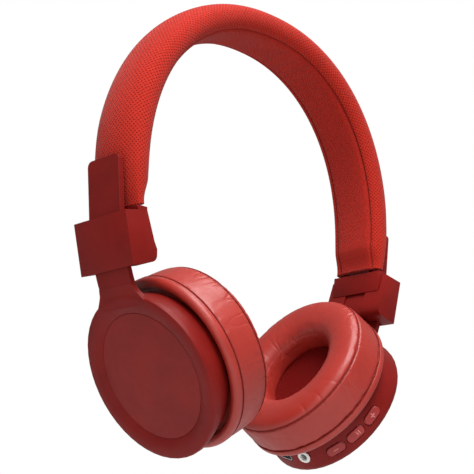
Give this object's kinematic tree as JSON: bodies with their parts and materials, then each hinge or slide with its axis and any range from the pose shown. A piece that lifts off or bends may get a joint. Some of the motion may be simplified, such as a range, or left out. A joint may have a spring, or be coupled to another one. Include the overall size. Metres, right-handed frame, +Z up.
{
  "type": "folding on-ear headphones",
  "caption": "Folding headphones: a padded sprung band, hinged sliding arms, and round ear cups with soft swivelling cushions and press buttons on a rim.",
  "frame": {"origin": "middle of the band's underside, where it rests on the crown of the head", "axes": "+Z up, +X towards the cup that carries the controls, -Y to the front"},
  "size_m": [0.1684, 0.0763, 0.2073],
  "materials": {
    "cover_knit": "knit",
    "pad_knit": "fine knit",
    "spring_steel": "satin",
    "black_plastic": "moulded",
    "shell_red": "satin moulded",
    "plate_red": "satin",
    "cushion_leather": "soft coated",
    "button_red": "satin",
    "socket_white": "gloss",
    "board_green": "solder mask",
    "pouch_silver": "foil",
    "cone_grey": "film",
    "scrim_maroon": "scrim"
  },
  "bodies": {
    "headband": {"band_lead": "black_plastic", "headband_cover": "cover_knit", "headband_pad": "pad_knit", "sleeve_left": "shell_red", "sleeve_right": "shell_red", "spring_band": "spring_steel"},
    "block_left": {"hinge_block_left": "shell_red", "fold_pin_left": "spring_steel"},
    "arm_left": {"arm_left": "shell_red", "chassis_screw_left_1": "spring_steel", "chassis_screw_left_2": "spring_steel", "chassis_screw_left_3": "spring_steel", "face_plate_left": "plate_red", "swivel_frame_left": "shell_red", "swivel_pin_lower_left": "spring_steel", "swivel_pin_upper_left": "spring_steel", "battery_cell": "pouch_silver"},
    "speaker_left": {"cushion_lip_left": "cushion_leather", "ear_cushion_left": "cushion_leather", "speaker_baffle_left": "shell_red", "driver_basket_left": "black_plastic", "driver_magnet_left": "spring_steel", "driver_cone_left": "cone_grey", "ear_scrim_left": "scrim_maroon", "driver_cup_left": "shell_red"},
    "block_right": {"hinge_block_right": "shell_red", "fold_pin_right": "spring_steel"},
    "arm_right": {"arm_right": "shell_red", "chassis_screw_right_1": "spring_steel", "chassis_screw_right_2": "spring_steel", "chassis_screw_right_3": "spring_steel", "face_plate_right": "plate_red", "swivel_frame_right": "shell_red", "swivel_pin_lower_right": "spring_steel", "swivel_pin_upper_right": "spring_steel", "main_board": "board_green", "switch_play": "black_plastic", "switch_volume_down": "black_plastic", "switch_volume_up": "black_plastic", "aux_socket": "socket_white", "usb_port": "spring_steel"},
    "speaker_right": {"cushion_lip_right": "cushion_leather", "ear_cushion_right": "cushion_leather", "speaker_baffle_right": "shell_red", "driver_basket_right": "black_plastic", "driver_magnet_right": "spring_steel", "driver_cone_right": "cone_grey", "ear_scrim_right": "scrim_maroon", "driver_cup_right": "shell_red"},
    "button_volume_up": {"button_volume_up": "button_red"},
    "button_play": {"button_play": "button_red"},
    "button_volume_down": {"button_volume_down": "button_red"}
  },
  "joints": [
    {"name": "fold_right", "type": "hinge", "parent": "headband", "child": "block_right", "pos_m": [0.0705, 0, -0.1163], "axis": [0, 1, 0], "range_deg": [0, 62]},
    {"name": "extend_right", "type": "slide", "parent": "block_right", "child": "arm_right", "axis": [-0.2079, 0, -0.9781], "range_m": [-0.002, 0.018]},
    {"name": "swivel_right", "type": "hinge", "parent": "arm_right", "child": "speaker_right", "pos_m": [0.04623, 0, -0.15648], "axis": [0.4924, 0, 0.8704], "range_deg": [-8, 8]},
    {"name": "fold_left", "type": "hinge", "parent": "headband", "child": "block_left", "pos_m": [-0.0705, 0, -0.1163], "axis": [0, 1, 0], "range_deg": [-62, 0]},
    {"name": "extend_left", "type": "slide", "parent": "block_left", "child": "arm_left", "axis": [0.2079, 0, -0.9781], "range_m": [-0.002, 0.018]},
    {"name": "swivel_left", "type": "hinge", "parent": "arm_left", "child": "speaker_left", "pos_m": [-0.04623, 0, -0.15648], "axis": [-0.4924, 0, 0.8704], "range_deg": [-3, 13]},
    {"name": "press_volume_up", "type": "slide", "parent": "arm_right", "child": "button_volume_up", "axis": [0.4607, 0.8798, 0.1173], "range_m": [0, 0.0005], "stiffness_N_per_m": 2400},
    {"name": "press_play", "type": "slide", "parent": "arm_right", "child": "button_play", "axis": [0.5891, 0.731, 0.3444], "range_m": [0, 0.0005], "stiffness_N_per_m": 2400},
    {"name": "press_volume_down", "type": "slide", "parent": "arm_right", "child": "button_volume_down", "axis": [0.6879, 0.5074, 0.5189], "range_m": [0, 0.0005], "stiffness_N_per_m": 2400}
  ]
}
